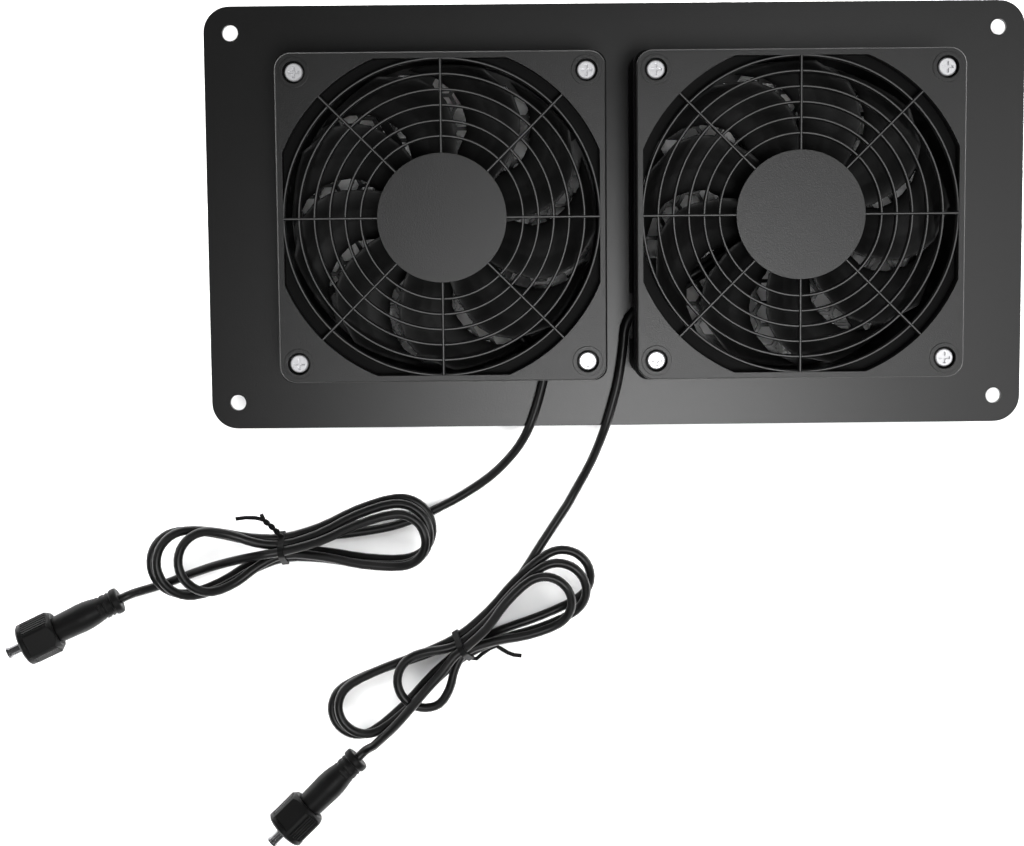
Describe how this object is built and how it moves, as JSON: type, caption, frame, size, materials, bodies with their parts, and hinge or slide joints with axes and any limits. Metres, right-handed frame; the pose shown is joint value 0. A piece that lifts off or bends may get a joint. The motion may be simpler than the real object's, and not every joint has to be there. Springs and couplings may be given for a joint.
{
  "type": "exhaust fan panel",
  "caption": "Flat wall panel carrying square axial fans side by side under ring finger guards, with tied cable leads that end in round screw-locking plugs.",
  "frame": {"origin": "on the floor, below the centre of the mounting plate, at the tips of the fan screws", "axes": "+X to the right and +Y up in the picture, +Z from the plate towards the finger guards; the part lies on its back"},
  "size_m": [0.3914, 0.3241, 0.0393],
  "materials": {
    "steel_black": "matt black powder coat",
    "fan_plastic": "satin moulded black",
    "guard_plastic": "fine matt texture",
    "blade_plastic": "satin moulded black",
    "steel": "plain",
    "magnet": "sintered",
    "insulator": "matt",
    "copper": "enamelled wire",
    "board": "solder mask",
    "label_foil": "plain foil",
    "screw_steel": "bright zinc",
    "cord_jacket": "smooth, slightly glossy jacket",
    "tie_plastic": "flexible",
    "plug_rubber": "fine matt overmould",
    "plug_plastic": "moulded, ribbed",
    "nickel": "nickel plate",
    "insulator_black": "matt",
    "seal": "soft"
  },
  "bodies": {
    "panel": {"mounting_plate": "steel_black", "left_fan_frame": "fan_plastic", "left_guard": "guard_plastic", "left_stator_core": "steel", "left_stator_insulator": "insulator", "left_coils": "copper", "left_circuit_board": "board", "left_bearing_outer_races": "steel", "left_bearing_balls": "steel", "left_hub_label": "label_foil", "left_fan_screws": "screw_steel", "left_lock_nuts": "screw_steel", "left_strain_relief": "cord_jacket", "left_inner_cable": "cord_jacket", "left_lead": "cord_jacket", "left_hank": "cord_jacket", "left_tail": "cord_jacket", "left_tie": "tie_plastic", "left_plug_grip": "plug_rubber", "left_plug_barrel": "nickel", "left_plug_contact": "insulator_black", "left_plug_seal": "seal", "right_fan_frame": "fan_plastic", "right_guard": "guard_plastic", "right_stator_core": "steel", "right_stator_insulator": "insulator", "right_coils": "copper", "right_circuit_board": "board", "right_bearing_outer_races": "steel", "right_bearing_balls": "steel", "right_hub_label": "label_foil", "right_fan_screws": "screw_steel", "right_lock_nuts": "screw_steel", "right_strain_relief": "cord_jacket", "right_inner_cable": "cord_jacket", "right_lead": "cord_jacket", "right_hank": "cord_jacket", "right_tail": "cord_jacket", "right_tie": "tie_plastic", "right_plug_grip": "plug_rubber", "right_plug_barrel": "nickel", "right_plug_contact": "insulator_black", "right_plug_seal": "seal"},
    "left_rotor": {"left_impeller": "blade_plastic", "left_rotor_yoke": "steel", "left_rotor_magnet": "magnet", "left_shaft": "steel", "left_bearing_inner_races": "steel", "left_preload_washer": "steel", "left_retaining_clip": "insulator"},
    "left_coupling_nut": {"left_plug_nut": "plug_plastic"},
    "right_rotor": {"right_impeller": "blade_plastic", "right_rotor_yoke": "steel", "right_rotor_magnet": "magnet", "right_shaft": "steel", "right_bearing_inner_races": "steel", "right_preload_washer": "steel", "right_retaining_clip": "insulator"},
    "right_coupling_nut": {"right_plug_nut": "plug_plastic"}
  },
  "joints": [
    {"name": "left_rotor_spin", "type": "hinge", "parent": "panel", "child": "left_rotor", "pos_m": [-0.065, 0, 0.02], "axis": [0, 0, 1], "continuous": true},
    {"name": "left_nut_turn", "type": "hinge", "parent": "panel", "child": "left_coupling_nut", "pos_m": [-0.22324, -0.16049, 0.00946], "axis": [-0.9021, -0.4111, 0.1309], "continuous": true},
    {"name": "right_rotor_spin", "type": "hinge", "parent": "panel", "child": "right_rotor", "pos_m": [0.065, 0, 0.02], "axis": [0, 0, 1], "continuous": true},
    {"name": "right_nut_turn", "type": "hinge", "parent": "panel", "child": "right_coupling_nut", "pos_m": [-0.12574, -0.23331, 0.00946], "axis": [-0.7251, -0.6761, 0.1309], "continuous": true}
  ]
}
